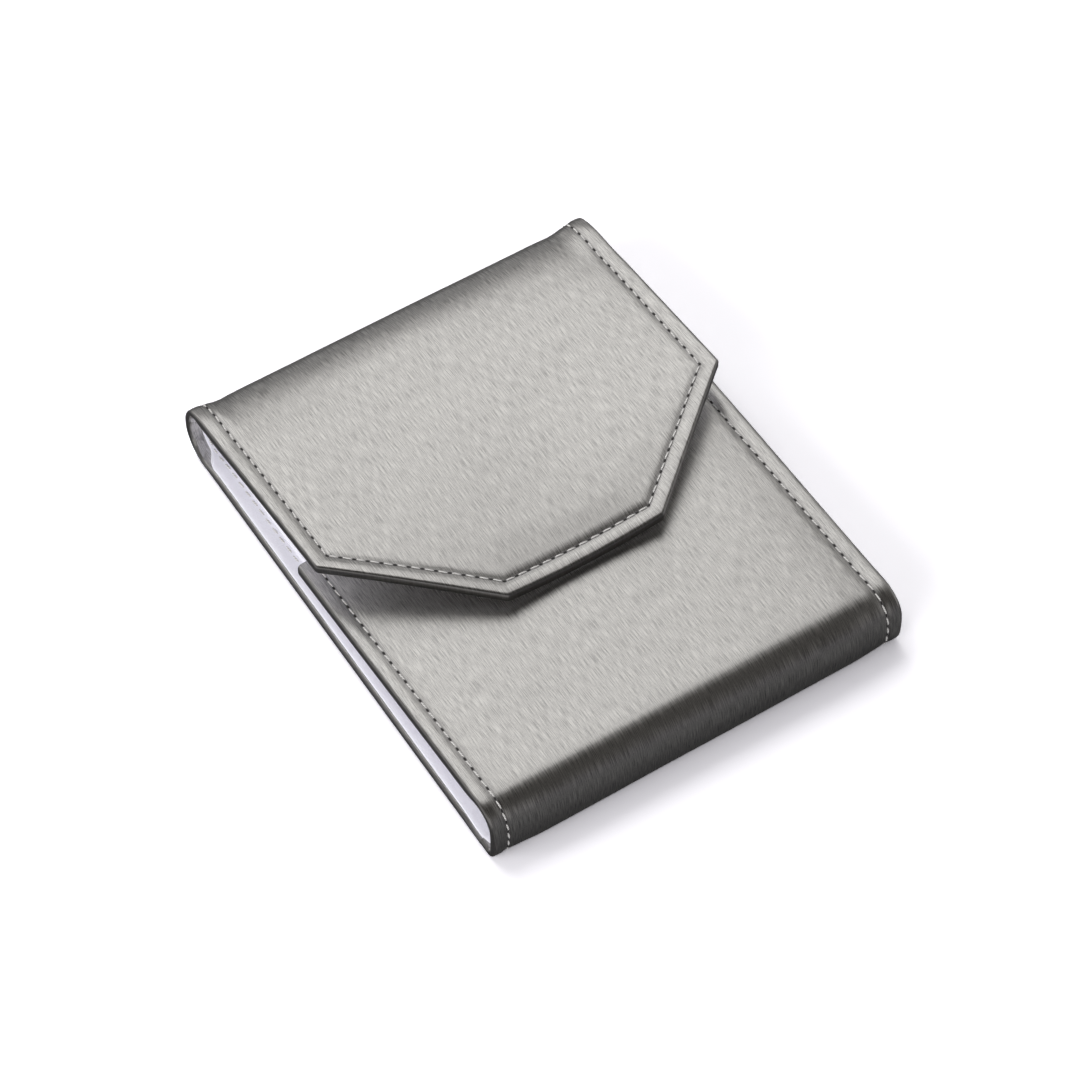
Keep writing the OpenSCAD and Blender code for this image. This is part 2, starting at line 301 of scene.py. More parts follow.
def cutAlong(bm, point, normal):
    bmesh.ops.bisect_plane(
        bm,
        geom=bm.verts[:] + bm.edges[:] + bm.faces[:],
        dist=1e-5,
        plane_co=(point[0], point[1], 0),
        plane_no=(normal[0], normal[1], 0),
    )


# distances in from a free edge where a blank gets a row of points, closest at the rounded edge and the groove
edgeRings = (
    0.12, 0.35, 0.7, 1.05, 1.5, 2.0, 2.6, 3.1, 3.6, 3.95,
    4.25, 4.5, 4.75, 5.05, 5.4, 6.0, 7.0, 8.4, 10.2, 12.6,
)
liningRings = (0.1, 0.3, 1.2, 2.6, 3.2, 3.6, 4.4)


def cutBlank(blank, rings):
    bm = bmesh.new()
    corners = [bm.verts.new((c.x, c.y, 0)) for c in blank.corners]
    bm.faces.new(corners)
    for i, corner in enumerate(corners):
        before, after = blank.edges[i - 1], blank.edges[i]
        if before[4] or after[4]:
            continue
        opening = math.acos(max(-1.0, min(1.0, -before[1].dot(after[1]))))
        # the offset of a vertex bevel is measured along the edges
        bmesh.ops.bevel(
            bm,
            geom=[corner],
            offset=edgeShape["cornerRadius"] / math.tan(opening / 2),
            offset_type="OFFSET",
            segments=5,
            profile=0.5,
            affect="VERTICES",
            material=-1,
        )
    for start, _, inward, _, isSeam in blank.edges:
        if isSeam:
            continue
        for ring in rings:
            cutAlong(bm, start + inward * ring, inward)
    count = len(blank.edges)
    for i in range(count):
        before, after = blank.edges[i - 1], blank.edges[i]
        if before[4] or after[4]:
            continue
        bisector = (after[1] - before[1]).normalized()
        cutAlong(bm, after[0], (-bisector.y, bisector.x))
    low = min(c.y for c in blank.corners)
    high = max(c.y for c in blank.corners)
    steps = max(1, round((high - low) / blank.rows))
    for k in range(1, steps):
        cutAlong(bm, (0, low + (high - low) * k / steps), (0, 1))
    for extra in foldRows(blank.side, low, high):
        cutAlong(bm, (0, extra), (0, 1))
    half = max(c.x for c in blank.corners)
    steps = max(1, round(2 * half / blank.columns))
    for k in range(1, steps):
        cutAlong(bm, (-half + 2 * half * k / steps, 0), (1, 0))
    return bm


def foldRows(side, low, high):
    if side > 0:
        curves = [(topStart, topEnd, 0.9)]
    else:
        curves = [(lowStart, faceStart, 0.42), (faceStart, frontStart, 0.7)]
    rows = []
    for start, end, step in curves:
        count = round((end - start) / step)
        rows += [start + (end - start) * k / count for k in range(count + 1)]
    return [s for s in rows if low + 0.05 < s < high - 0.05]


# where each stitch goes: along every free side of a blank, at the stitch inset
threadShape = {
    "pitch": 3.45,
    "length": 0.72,
    "width": 0.25,
    "height": 0.17,
    "arch": 0.2,
    "slant": 0.3,
    "slantSpread": 0.35,
    "blunt": 0.8,
    "sink": 0.06,
    "liningArch": 0.02,
}


def seamLines(blank, inset):
    lines = []
    count = len(blank.edges)

    def shifted(i, other):
        start, along, inward = blank.edges[i][:3]
        base = start + inward * inset
        cross = blank.edges[other]
        reach = 0.0 if cross[4] else inset
        target = cross[0] + cross[2] * reach
        return base + along * ((target - base).dot(cross[2]) / along.dot(cross[2]))

    for i in range(count):
        if blank.edges[i][4]:
            continue
        begin, finish = shifted(i, i - 1), shifted(i, (i + 1) % count)
        number = max(1, round((finish - begin).length / threadShape["pitch"]))
        lines.append((i, begin, finish, number))
    return lines


# how far along the front its snap stud sits
studLow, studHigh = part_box("snap_stud")
studY = (studLow.y + studHigh.y) / 2 / mm
studAt = Vector((0.0, frontStart + plainWalk(-1, frontStart)[0] + studY))


def outerDepth(side, point, inset, thick):
    radius = min(edgeShape["roundRadius"], thick / 2 - 0.05)
    short = max(radius - inset, 0.0)
    depth = radius - math.sqrt(max(radius * radius - short * short, 0.0))
    stitch = edgeShape["stitchInset"]
    groove = edgeShape["groove"] * math.exp(-(((inset - stitch) / edgeShape["grooveWidth"]) ** 2))
    swell = lookUp(swellTable[side], point.y) * smooth(stitch - 0.3, stitch + edgeShape["swellWidth"], inset)
    dimple = 0.0
    if side < 0:
        # the stud pulls the padding down around itself
        swell *= smooth(edgeShape["studRim"], edgeShape["studReach"], (point - studAt).length)
        dimple = edgeShape["studDimple"] * (1 - smooth(5.2, 10.0, (point - studAt).length))
    onBack = 1 - smooth(topStart - 6, topStart + 2, point.y)
    hem = -edgeShape["hemCrown"] * (smooth(0.4, 2.1, inset) - smooth(2.1, stitch - 0.4, inset))
    wander = edgeShape["wander"] * noise.noise(Vector((point.x * 0.035, point.y * 0.03, side * 7.0)))
    if side < 0:
        wander *= smooth(edgeShape["studRim"], edgeShape["studReach"], (point - studAt).length)
    raised = hemRaise(side, point.y, inset)
    groove *= (1 - 0.4 * onBack) * (1 - 0.18 * foldPull(side, point.y))
    return depth + groove + dimple - swell + hem - raised + wander * smooth(2, 14, inset) * (1 - onBack)


def innerDepth(side, point, inset, thick):
    radius = min(edgeShape["roundRadius"], thick / 2 - 0.05)
    short = max(radius - inset, 0.0)
    round0 = radius - math.sqrt(max(radius * radius - short * short, 0.0))
    crumple = edgeShape["crumple"] * foldPull(side, point.y) / liningShape["foldPull"]
    crumple *= abs(noise.noise(Vector((point.x * 0.22, point.y * 0.62, 3.0))))
    inHem = smooth(0.3, 1.2, inset) * (1 - smooth(2.6, 3.5, inset))
    return thick - round0 + crumple * inHem - hemRaise(side, point.y, inset)


# inside a fold the lining stops further short of the crumpled turned edge
def foldPull(side, s):
    if side > 0:
        inFold = smooth(topStart - 3, topStart + 4, s) * (1 - smooth(topCrown - 3, topCrown + 4, s))
    else:
        inFold = smooth(lowStart - 3, faceStart, s) * (1 - smooth(highStart, highEnd + 4, s))
    return inFold * liningShape["foldPull"]


def addBlank(name, blank, kind, rings):
    bm = cutBlank(blank, rings)
    flatUv = bm.loops.layers.uv.new("flatUV")
    seamUv = bm.loops.layers.uv.new("seamUV")
    inner = bm.verts.layers.float.new("inner")
    lines = seamLines(blank, edgeShape["stitchInset"] - blank.margin)
    for face in bm.faces:
        centre = face.calc_center_median().xy
        nearest = min(blank.insets(centre))[1]
        line = next(item for item in lines if item[0] == nearest)
        start, along, inward = blank.edges[nearest][:3]
        begin, finish, number = line[1:]
        for loop in face.loops:
            point = loop.vert.co.xy
            loop[flatUv].uv = (point.x * mm, point.y * mm * blank.side)
            travel = (point - begin).dot(along) / (finish - begin).length * number
            loop[seamUv].uv = (travel, (point - start).dot(inward) + blank.margin)
    made = bmesh.ops.extrude_face_region(bm, geom=bm.faces[:], use_keep_orig=True)
    for item in made["geom"]:
        if isinstance(item, bmesh.types.BMVert):
            item[inner] = 1.0
    for edge in bm.edges:
        a, b = edge.verts
        for seam in blank.seams:
            if abs(a.co.y - seam) < 1e-3 and abs(b.co.y - seam) < 1e-3:
                edge.smooth = False
    for vert in bm.verts:
        point = vert.co.xy
        inset = blank.insetAt(point)
        thick = lookUp(thicknessTable[blank.side], point.y)
        if kind == "cover":
            faceDepth = innerDepth if vert[inner] > 0.5 else outerDepth
            depth = faceDepth(blank.side, point, inset, thick)
        else:
            own = inset - blank.margin
            edgeRound = liningShape["edgeRound"] * (1 - min(own / 0.3, 1.0)) ** 2
            ripple = liningShape["ripple"] * noise.noise(Vector((point.x * 0.12, point.y * 0.1, 11.0)))
            pull = foldPull(blank.side, point.y)
            half = caseShape["halfWidth"] - blank.margin
            point = Vector((point.x * (half - pull) / half, point.y))
            inset += pull
            top = thick + liningShape["thickness"] - edgeRound + ripple * smooth(0.3, 4, own)
            top -= hemRaise(blank.side, point.y, inset)
            fromSeam = (inset - edgeShape["stitchInset"]) / 0.7
            pressed = liningShape["seamPress"] * math.exp(-(fromSeam ** 2))
            depth = top - pressed if vert[inner] > 0.5 else thick - liningShape["glueDepth"]
        vert.co = placed(blank.side, point.x, point.y, depth)
    bmesh.ops.remove_doubles(bm, verts=bm.verts, dist=1e-6)
    smoothShaded(bm)
    return newPiece(name, bm)


def addStitches(name, blank, onLining):
    bm = bmesh.new()
    inset = edgeShape["stitchInset"] - blank.margin
    for index, begin, finish, number in seamLines(blank, inset):
        along = (finish - begin) / number
        across = blank.edges[index][2]
        for k in range(number):
            start = begin + along * k
            made = bmesh.ops.create_uvsphere(bm, u_segments=6, v_segments=5, radius=1.0)
            uneven = threadShape["slantSpread"] * noise.noise(Vector((start.x, start.y, 5.0)))
            slant = threadShape["slant"] * (1 + uneven)
            for vert in made["verts"]:
                lateral, up, travel = vert.co
                travel = math.copysign(abs(travel) ** threadShape["blunt"], travel)
                t = 0.5 + 0.5 * threadShape["length"] * travel
                point = start + along * t + across * (lateral * threadShape["width"] + slant * (t - 0.5))
                thick = lookUp(thicknessTable[blank.side], point.y)
                lift = 1 - (2 * t - 1) ** 2
                if onLining:
                    base = thick + liningShape["thickness"] - liningShape["seamPress"]
                    base -= hemRaise(blank.side, point.y, inset + blank.margin)
                    depth = base + threadShape["liningArch"] * lift + up * threadShape["height"]
                else:
                    base = outerDepth(blank.side, point, inset + blank.margin, thick)
                    depth = base + threadShape["sink"] - threadShape["arch"] * lift
                    depth -= up * threadShape["height"]
                vert.co = placed(blank.side, point.x, point.y, depth)
    smoothShaded(bm)
    return newPiece(name, bm)


# the lining stops short of the edges, and further short inside the folds
liningShape = {
    "thickness": 0.4,
    "margin": 1.1,
    "foldPull": 2.6,
    "edgeRound": 0.2,
    "ripple": 0.06,
    "seamPress": 0.12,
    "glueDepth": 0.15,
}


def outlines(margin):
    half = caseShape["halfWidth"] - margin
    foldEndY = plainWalk(1, topEnd)[0]
    tip = topEnd + foldEndY - flapShape["tipY"]
    corner = topEnd + foldEndY - flapShape["cornerY"]
    frontEnd = frontStart + (frontShape["endY"] + plainWalk(-1, frontStart)[0]) / math.cos(
        math.radians(caseShape["frontTilt"])
    )
    diagonal = Vector((caseShape["halfWidth"] - flapShape["tipHalfWidth"], corner - tip))
    lean = margin * (diagonal.length - abs(diagonal.y)) / diagonal.x
    return {
        "back": [(-half, -backBottom), (half, -backBottom), (half, backTop), (-half, backTop)],
        "topFold": [(-half, backTop), (half, backTop), (half, topMiddle), (-half, topMiddle)],
        "flap": [
            (-half, topMiddle),
            (half, topMiddle),
            (half, corner - lean),
            (flapShape["tipHalfWidth"] - margin * 0.45, tip - margin),
            (-flapShape["tipHalfWidth"] + margin * 0.45, tip - margin),
            (-half, corner - lean),
        ],
        "bottomFold": [(-half, backBottom), (half, backBottom), (half, bottomMiddle), (-half, bottomMiddle)],
        "front": [
            (-half, bottomMiddle),
            (half, bottomMiddle),
            (half, frontEnd - margin),
            (-half, frontEnd - margin),
        ],
    }


def seamsOf(name):
    return {
        "back": (-backBottom, backTop),
        "topFold": (backTop, topMiddle),
        "flap": (topMiddle,),
        "bottomFold": (backBottom, bottomMiddle),
        "front": (bottomMiddle,),
    }[name]


def sideOf(name):
    return -1 if name in ("bottomFold", "front") else 1


# the model.glb parts that each panel's cover stands in for; they are hidden once it is built
coverNodes = {
    "back": ["back_cover", "back_board"],
    "topFold": ["top_spine_cover", "top_spine_board", "top_low_crease_skin"],
    "flap": ["top_high_crease_skin", "flap_cover", "flap_foam", "flap_board", "snap_hidden_cap"],
    "bottomFold": ["bottom_spine_cover", "bottom_spine_board", "bottom_low_crease_skin"],
    "front": ["bottom_high_crease_skin", "front_cover", "front_foam", "front_board", "snap_stud_eyelet"],
}
liningNodes = {
    "back": ["back_lining"],
    "topFold": ["top_spine_lining"],
    "flap": ["flap_lining"],
    "bottomFold": ["bottom_spine_lining"],
    "front": ["front_lining"],
}
threadNodes = {
    "back": ["back_stitching"],
    "topFold": ["top_spine_stitching"],
    "flap": ["flap_stitching"],
    "bottomFold": ["bottom_spine_stitching"],
    "front": ["front_stitching"],
}


def follow(obj, name):
    if name == "back":
        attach(obj, "back")
    else:
        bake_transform(obj)


shown = {}
for name in ("back", "topFold", "flap", "bottomFold", "front"):
    side = sideOf(name)
    cover = Blank(side, outlines(0.0)[name], seamsOf(name))
    coverObj = addBlank(name + "Cover", cover, "cover", edgeRings)
    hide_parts(*coverNodes[name])
    margin = liningShape["margin"]
    lining = Blank(side, outlines(margin)[name], seamsOf(name), margin)
    liningObj = addBlank(name + "Lining", lining, "lining", liningRings)
    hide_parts(*liningNodes[name])
    outerThread = addStitches(name + "Stitches", cover, False)
    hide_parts(*threadNodes[name])
    innerThread = addStitches(name + "LiningStitches", cover, True)
    for obj in (coverObj, liningObj, outerThread, innerThread):
        follow(obj, name)
    shown[name] = (coverObj, liningObj, outerThread, innerThread)
    print("panel built:", name, len(coverObj.data.polygons), len(outerThread.data.polygons))


def newMaterial(name):
    material = bpy.data.materials.new(name)
    material.use_nodes = True
    tree = material.node_tree
    tree.nodes.clear()
    output = tree.nodes.new("ShaderNodeOutputMaterial")
    shader = tree.nodes.new("ShaderNodeBsdfPrincipled")
    tree.links.new(shader.outputs["BSDF"], output.inputs["Surface"])
    return material, tree, shader


def addNode(tree, kind, values=None, links=None, **settings):
    node = tree.nodes.new(kind)
    for key, value in settings.items():
        setattr(node, key, value)
    for key, value in (values or {}).items():
        node.inputs[key].default_value = value
    for key, socket in (links or {}).items():
        tree.links.new(socket, node.inputs[key])
    return node


def addMath(tree, operation, first, second=None, third=None, clamp=False):
    node = tree.nodes.new("ShaderNodeMath")
    node.operation = operation
    node.use_clamp = clamp
    for i, item in enumerate((first, second, third)):
        if item is None:
            continue
        if isinstance(item, (int, float)):
            node.inputs[i].default_value = item
        else:
            tree.links.new(item, node.inputs[i])
    return node.outputs[0]


def mapRange(tree, value, low, high, toLow=0.0, toHigh=1.0):
    limits = {"From Min": low, "From Max": high, "To Min": toLow, "To Max": toHigh}
    node = addNode(tree, "ShaderNodeMapRange", limits)
    node.interpolation_type = "SMOOTHSTEP"
    tree.links.new(value, node.inputs["Value"])
    return node.outputs["Result"]


def mixColour(tree, factor, first, second, blend="MIX"):
    node = tree.nodes.new("ShaderNodeMix")
    node.data_type = "RGBA"
    node.blend_type = blend
    for i, item in ((0, factor), (6, first), (7, second)):
        if isinstance(item, (int, float)):
            node.inputs[i].default_value = item
        elif isinstance(item, tuple):
            node.inputs[i].default_value = (*item, 1.0)
        else:
            tree.links.new(item, node.inputs[i])
    return node.outputs[2]


# brushed metallic leatherette: colours are linear, the hole's radius is in millimetres
leatherLook = {
    "colour": (0.80, 0.79, 0.755),
    "shade": (0.35, 0.344, 0.333),
    "roughness": 0.36,
    "metallic": 1.0,
    "streakAcross": 5000.0,
    "streakAlong": 230.0,
    "broadScale": (1300.0, 90.0, 1.0),
    "cloudScale": 38.0,
    "grainScale": 2400.0,
    "toneMiddle": 0.6,
    "streakGain": 2.5,
    "broadGain": 0.12,
    "cloudGain": 0.2,
    "grainGain": 0.5,
    "bumpStrength": 0.35,
    "bumpDepth": 0.0002,
    "streakBump": 0.10,
    "grainBump": 0.05,
    "holeRadius": 0.34,
    # painted shade in the stitch groove
    "grooveShadeColour": (0.20, 0.195, 0.20),
    # painted shade inside the needle holes
    "holeShadeColour": (0.03, 0.028, 0.026),
    # painted shade on the turned edge and cut sides
    "edgeShadeColour": (0.24, 0.235, 0.235),
}


def leatherMaterial(name):
    material, tree, shader = newMaterial(name)
    flat = addNode(tree, "ShaderNodeUVMap", uv_map="flatUV").outputs["UV"]
    seam = addNode(tree, "ShaderNodeUVMap", uv_map="seamUV").outputs["UV"]
    seamParts = addNode(tree, "ShaderNodeSeparateXYZ", links={"Vector": seam})
    travel, inset = seamParts.outputs["X"], seamParts.outputs["Y"]
    streakScale = (leatherLook["streakAcross"], leatherLook["streakAlong"], 1.0)
    stretched = addNode(tree, "ShaderNodeMapping", {"Scale": streakScale}, {"Vector": flat}).outputs["Vector"]
    streak = addNode(
        tree, "ShaderNodeTexNoise", {"Scale": 1.0, "Detail": 2.0, "Roughness": 0.5}, {"Vector": stretched}
    ).outputs["Fac"]
    broadScale = leatherLook["broadScale"]
    wider = addNode(tree, "ShaderNodeMapping", {"Scale": broadScale}, {"Vector": flat}).outputs["Vector"]
    broad = addNode(
        tree, "ShaderNodeTexNoise", {"Scale": 1.0, "Detail": 2.0, "Roughness": 0.5}, {"Vector": wider}
    ).outputs["Fac"]
    cloudy = {"Scale": leatherLook["cloudScale"], "Detail": 3.0, "Roughness": 0.55}
    cloud = addNode(tree, "ShaderNodeTexNoise", cloudy, {"Vector": flat}).outputs["Fac"]
    grainy = {"Scale": leatherLook["grainScale"], "Detail": 1.0, "Roughness": 0.6}
    grain = addNode(tree, "ShaderNodeTexNoise", grainy, {"Vector": flat}).outputs["Fac"]
    tone = leatherLook["toneMiddle"]
    for pattern, gain in (
        (streak, leatherLook["streakGain"]),
        (broad, leatherLook["broadGain"]),
        (cloud, leatherLook["cloudGain"]),
        (grain, leatherLook["grainGain"]),
    ):
        offset = addMath(tree, "SUBTRACT", pattern, 0.5)
        tone = addMath(tree, "MULTIPLY_ADD", offset, gain, tone, clamp=pattern is grain)
    colour = mixColour(tree, tone, leatherLook["shade"], leatherLook["colour"])
    # needle holes between the stitches, on the line of stitching, darkened with painted shade and sunk by the
    # bump
    along = addMath(tree, "SUBTRACT", travel, addMath(tree, "ROUND", travel))
    along = addMath(tree, "MULTIPLY", along, threadShape["pitch"] * 0.48)
    across = addMath(tree, "SUBTRACT", inset, edgeShape["stitchInset"])
    squares = [addMath(tree, "POWER", item, 2.0) for item in (along, across)]
    reach = addMath(tree, "SQRT", addMath(tree, "ADD", *squares))
    hole = mapRange(tree, reach, leatherLook["holeRadius"] * 1.25, leatherLook["holeRadius"] * 0.55)
    inner = addNode(tree, "ShaderNodeAttribute", attribute_name="inner").outputs["Fac"]
    hole = addMath(tree, "MULTIPLY", hole, addMath(tree, "SUBTRACT", 1.0, inner, clamp=True))
    # painted shade: the stitch groove is painted darker, darkest on the line of stitching and fading out
    # about 0.85 mm either side
    grooveShade = mapRange(tree, addMath(tree, "ABSOLUTE", across), 0.85, 0.15, 0.0, 0.55)
    colour = mixColour(tree, grooveShade, colour, leatherLook["grooveShadeColour"])
    colour = mixColour(tree, hole, colour, leatherLook["holeShadeColour"])
    # painted shade: the turned edge and the cover's cut sides are painted darker, with a cloudy inner border
    edgeShade = mapRange(tree, addMath(tree, "MULTIPLY_ADD", cloud, -0.8, inset), 0.45, -0.25, 0.0, 0.8)
    colour = mixColour(tree, edgeShade, colour, leatherLook["edgeShadeColour"])
    tree.links.new(colour, shader.inputs["Base Color"])
    uneven = addMath(tree, "SUBTRACT", streak, 0.5)
    rough = addMath(tree, "MULTIPLY_ADD", uneven, 0.16, leatherLook["roughness"])
    rough = addMath(tree, "MULTIPLY_ADD", hole, 0.4, rough)
    tree.links.new(rough, shader.inputs["Roughness"])
    metal = addMath(tree, "MULTIPLY_ADD", hole, -leatherLook["metallic"], leatherLook["metallic"])
    tree.links.new(metal, shader.inputs["Metallic"])
    height = addMath(tree, "MULTIPLY", streak, leatherLook["streakBump"])
    height = addMath(tree, "MULTIPLY_ADD", grain, leatherLook["grainBump"], height)
    height = addMath(tree, "MULTIPLY_ADD", cloud, 0.2, height)
    height = addMath(tree, "MULTIPLY_ADD", hole, -0.9, height)
    relief = {"Strength": leatherLook["bumpStrength"], "Distance": leatherLook["bumpDepth"]}
    bump = addNode(tree, "ShaderNodeBump", relief, {"Height": height})
    tree.links.new(bump.outputs["Normal"], shader.inputs["Normal"])
    return material


# brushed white cloth with a faint lavender cast
clothLook = {
    "colour": (0.93, 0.925, 0.965),
    "shade": (0.82, 0.815, 0.865),
    "fibreScale": (400.0, 2600.0, 2600.0),
}


def clothMaterial(name):
    material, tree, shader = newMaterial(name)
    place = addNode(tree, "ShaderNodeTexCoord").outputs["Object"]
    nap = addNode(
        tree, "ShaderNodeTexNoise", {"Scale": 900.0, "Detail": 4.0, "Roughness": 0.7}, {"Vector": place}
    ).outputs["Fac"]
    patch = addNode(
        tree, "ShaderNodeTexNoise", {"Scale": 45.0, "Detail": 3.0}, {"Vector": place}
    ).outputs["Fac"]
    brushed = addNode(tree, "ShaderNodeMapping", {"Scale": clothLook["fibreScale"]}, {"Vector": place})
    fibre = addNode(
        tree, "ShaderNodeTexNoise", {"Scale": 1.0, "Detail": 2.0}, {"Vector": brushed.outputs["Vector"]}
    ).outputs["Fac"]
    tone = addMath(tree, "MULTIPLY_ADD", patch, 0.5, addMath(tree, "MULTIPLY", nap, 0.6), clamp=True)
    colour = mixColour(tree, tone, clothLook["shade"], clothLook["colour"])
    tree.links.new(colour, shader.inputs["Base Color"])
    tree.links.new(mapRange(tree, nap, 0.3, 0.7, 0.82, 0.98), shader.inputs["Roughness"])
    shader.inputs["Sheen Weight"].default_value = 0.35
    shader.inputs["Sheen Roughness"].default_value = 0.5
    height = addMath(tree, "MULTIPLY_ADD", fibre, 0.6, nap)
    bump = addNode(tree, "ShaderNodeBump", {"Strength": 0.5, "Distance": 0.00025}, {"Height": height})
    tree.links.new(bump.outputs["Normal"], shader.inputs["Normal"])
    return material


# light grey polyester thread
threadLook = {"colour": (0.80, 0.79, 0.75), "shade": (0.50, 0.49, 0.46)}


def threadMaterial(name):
    material, tree, shader = newMaterial(name)
    place = addNode(tree, "ShaderNodeTexCoord").outputs["Object"]
    ply = addNode(
        tree,
        "ShaderNodeTexWave",
        {"Scale": 900.0, "Distortion": 2.0, "Detail": 1.0},
        {"Vector": place},
        bands_direction="DIAGONAL",
    ).outputs["Fac"]
    colour = mixColour(tree, ply, threadLook["shade"], threadLook["colour"])
    tree.links.new(colour, shader.inputs["Base Color"])
    tree.links.new(mapRange(tree, ply, 0.0, 1.0, 0.5, 0.7), shader.inputs["Roughness"])
    bump = addNode(tree, "ShaderNodeBump", {"Strength": 0.5, "Distance": 0.0001}, {"Height": ply})
    tree.links.new(bump.outputs["Normal"], shader.inputs["Normal"])
    return material


# nickel-plated snap
metalLook = {"colour": (0.74, 0.73, 0.71), "shade": (0.62, 0.61, 0.6)}


def metalMaterial(name):
    material, tree, shader = newMaterial(name)
    place = addNode(tree, "ShaderNodeTexCoord").outputs["Object"]
    scratch = addNode(
        tree, "ShaderNodeTexNoise", {"Scale": 700.0, "Detail": 4.0}, {"Vector": place}
    ).outputs["Fac"]
    colour = mixColour(tree, scratch, metalLook["shade"], metalLook["colour"])
    tree.links.new(colour, shader.inputs["Base Color"])
    tree.links.new(mapRange(tree, scratch, 0.3, 0.7, 0.18, 0.38), shader.inputs["Roughness"])
    shader.inputs["Metallic"].default_value = 1.0
    bump = addNode(tree, "ShaderNodeBump", {"Strength": 0.2, "Distance": 0.00005}, {"Height": scratch})
    tree.links.new(bump.outputs["Normal"], shader.inputs["Normal"])
    return material


leather = leatherMaterial("leatherette")
cloth = clothMaterial("lining")
thread = threadMaterial("thread")
metal = metalMaterial("snapMetal")
for coverObj, liningObj, outerThread, innerThread in shown.values():
    for obj, material, slot in (
        (coverObj, leather, "leatherette"),
        (liningObj, cloth, "lining"),
        (outerThread, thread, "thread"),
        (innerThread, thread, "thread"),
    ):
        obj.data.materials.append(material)
for node in ("snap_stud", "snap_socket", "snap_socket_spring"):
    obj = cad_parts[node]
    obj.data.materials.clear()
    obj.data.materials.append(metal)
print("materials made")

# padded insert on the back's lining: a thin foam sheet under cloth; "swell" is the most that it may rise
padShape = {
    "cornerRadius": 4.0,
    "rimRadius": 1.1,
    "cell": 3.0,
    "swell": 0.9,
    "pressure": 0.6,
    "frames": 16,
    "mass": 0.05,
    "stiffness": 8.0,
    "shear": 3.0,
    "bending": 0.3,
}


def swellBySimulation(obj, held):
    group = obj.vertex_groups.new(name="held")
    group.add(held, 1.0, "REPLACE")
    rest = [v.co.copy() for v in obj.data.vertices]
    cloth = obj.modifiers.new("cloth", "CLOTH")
    settings = cloth.settings
    settings.quality = 6
    settings.mass = padShape["mass"]
    settings.tension_stiffness = settings.compression_stiffness = padShape["stiffness"]
    settings.shear_stiffness = padShape["shear"]
    settings.bending_stiffness = padShape["bending"]
    settings.use_pressure = True
    settings.uniform_pressure_force = padShape["pressure"]
    settings.vertex_group_mass = "held"
    settings.effector_weights.gravity = 0.0
    cloth.point_cache.frame_start, cloth.point_cache.frame_end = 1, padShape["frames"]
    scene = bpy.context.scene
    for frameNumber in range(1, padShape["frames"] + 1):
        scene.frame_set(frameNumber)
    evaluated = obj.evaluated_get(bpy.context.evaluated_depsgraph_get())
    moved = [v.co.copy() for v in evaluated.data.vertices]
    obj.modifiers.remove(cloth)
    scene.frame_set(1)
    obj.vertex_groups.clear()
    shift = [after - before for before, after in zip(rest, moved)]
    largest = max(s.length for s in shift)
    print("pad simulated, largest move in mm:", round(largest / mm, 3))
    scale = padShape["swell"] * mm / largest if largest > 0 else 0.0
    for vert, before, move in zip(obj.data.vertices, rest, shift):
        vert.co = before + move * min(scale, 1.0)


def addPad(name):
    low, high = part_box("insert_pad_cover")
    bm = bmesh.new()
    bmesh.ops.create_cube(bm, size=1.0)
    middle, size = (low + high) / 2, high - low
    for vert in bm.verts:
        vert.co = Vector(tuple(middle[i] + vert.co[i] * size[i] for i in range(3)))
    upright = [e for e in bm.edges if abs(e.verts[0].co.z - e.verts[1].co.z) > 1e-5]
    bmesh.ops.bevel(
        bm,
        geom=upright,
        offset=padShape["cornerRadius"] * mm,
        offset_type="OFFSET",
        segments=6,
        profile=0.5,
        affect="EDGES",
        material=-1,
    )
    rim = [e for e in bm.edges if all(v.co.z > high.z - 1e-6 for v in e.verts)]
    bmesh.ops.bevel(
        bm,
        geom=rim,
        offset=padShape["rimRadius"] * mm,
        offset_type="OFFSET",
        segments=4,
        profile=0.5,
        affect="EDGES",
        material=-1,
    )
    for axis in (0, 1):
        count = round(size[axis] / (padShape["cell"] * mm))
        for k in range(1, count):
            point = [0.0, 0.0, 0.0]
            normal = [0.0, 0.0, 0.0]
            point[axis] = low[axis] + size[axis] * k / count
            normal[axis] = 1.0
            bmesh.ops.bisect_plane(
                bm, geom=bm.verts[:] + bm.edges[:] + bm.faces[:], dist=1e-7, plane_co=point, plane_no=normal
            )
    smoothShaded(bm)
    obj = newPiece(name, bm)
    mesh = obj.data
    top = high.z - 1e-5
    swellBySimulation(obj, [v.index for v in mesh.vertices if v.co.z < top])
    return obj


pad = addPad("insertPad")
pad.data.materials.append(cloth)
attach(pad, "back")
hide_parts("insert_pad_cover", "insert_pad_core")

# studio: a pale floor, a large soft key light with a halo round it, and two lamps that leave no reflection
studio = {
    "floorColour": (0.93, 0.93, 0.935),
    "floorSeen": (1.4, 1.39, 1.41),
    "floorFar": (3.4, 3.4, 3.4),
    "floorInReflections": 0.115,
    "keyEnergy": 2.36,
    "keySize": (1.15, 0.94),
    "keyDirection": (0.13, 0.603, 0.787),
    "haloEnergy": 2.6,
    "haloSize": (1.7, 1.3),
    "keyDistance": 1.3,
    "shadowEnergy": 12.0,
    "shadowDirection": (-0.05, 0.62, 0.9),
    "shadowDistance": 2.0,
    "shadowSize": (1.2, 1.2),
    "sideEnergy": 11.0,
    "sideDirection": (-0.95, -0.15, 0.5),
    "sideDistance": 1.2,
    "sideSize": (1.3, 0.8),
    "sideTint": (0.97, 0.96, 1.0),
    "haloTint": (1.0, 0.98, 1.0),
    "openAir": 0.3,
    "openTint": (1.0, 0.985, 1.03),
    "darkAir": (0.037, 0.034, 0.031),
    "lowAir": (0.11, 0.105, 0.12),
    "backAir": (0.34, 0.34, 0.35),
    "sideAir": (0.50, 0.49, 0.49),
    "paperWhite": 1.1,
}


